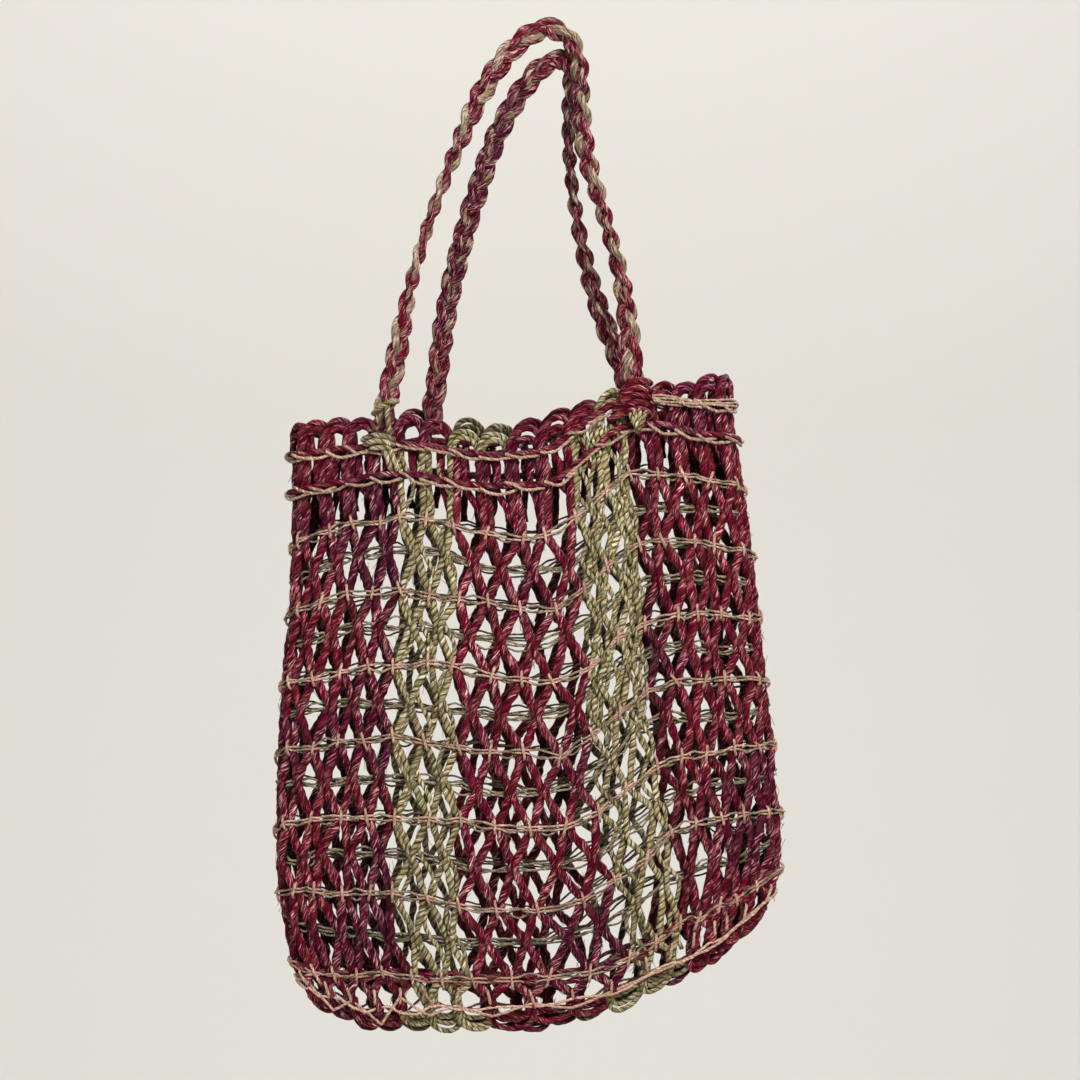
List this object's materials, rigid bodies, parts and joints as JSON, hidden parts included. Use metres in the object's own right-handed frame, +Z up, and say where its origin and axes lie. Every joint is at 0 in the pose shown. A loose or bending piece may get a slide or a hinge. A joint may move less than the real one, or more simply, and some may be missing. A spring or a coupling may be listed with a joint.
{
  "type": "openwork cord tote bag",
  "caption": "Net tote of twisted plant-fibre cord, hung by two braided handles: a soft open tube of bound diamonds with a looped rim and a laced, scalloped bottom",
  "frame": {"origin": "the hang point, just under the bend of the back handle, where a hook or peg carries both handles", "axes": "+Z up, +X to the right of someone facing the front, and the front faces -Y"},
  "size_m": [0.3682, 0.0786, 0.7372],
  "materials": {
    "net_cord": "burgundy twisted plant-fibre cord with a slight sheen",
    "rim_cord": "burgundy twisted plant-fibre cord with a slight sheen",
    "border_cord": "burgundy twisted plant-fibre cord with a slight sheen",
    "twine": "thin undyed twine",
    "handle_braid": "braid of burgundy and natural cord",
    "natural_cord": "undyed twisted plant-fibre cord"
  },
  "bodies": {
    "root": {"net_body": "net_cord", "rim_front": "rim_cord", "rim_back": "rim_cord", "bottom_border": "border_cord", "weft_row_1": "twine", "weft_row_2": "twine", "weft_row_3": "twine", "weft_row_4": "twine", "weft_row_5": "twine", "handle_front": "handle_braid", "handle_back": "handle_braid", "lashing_left": "natural_cord", "lashing_right": "net_cord"}
  },
  "joints": []
}
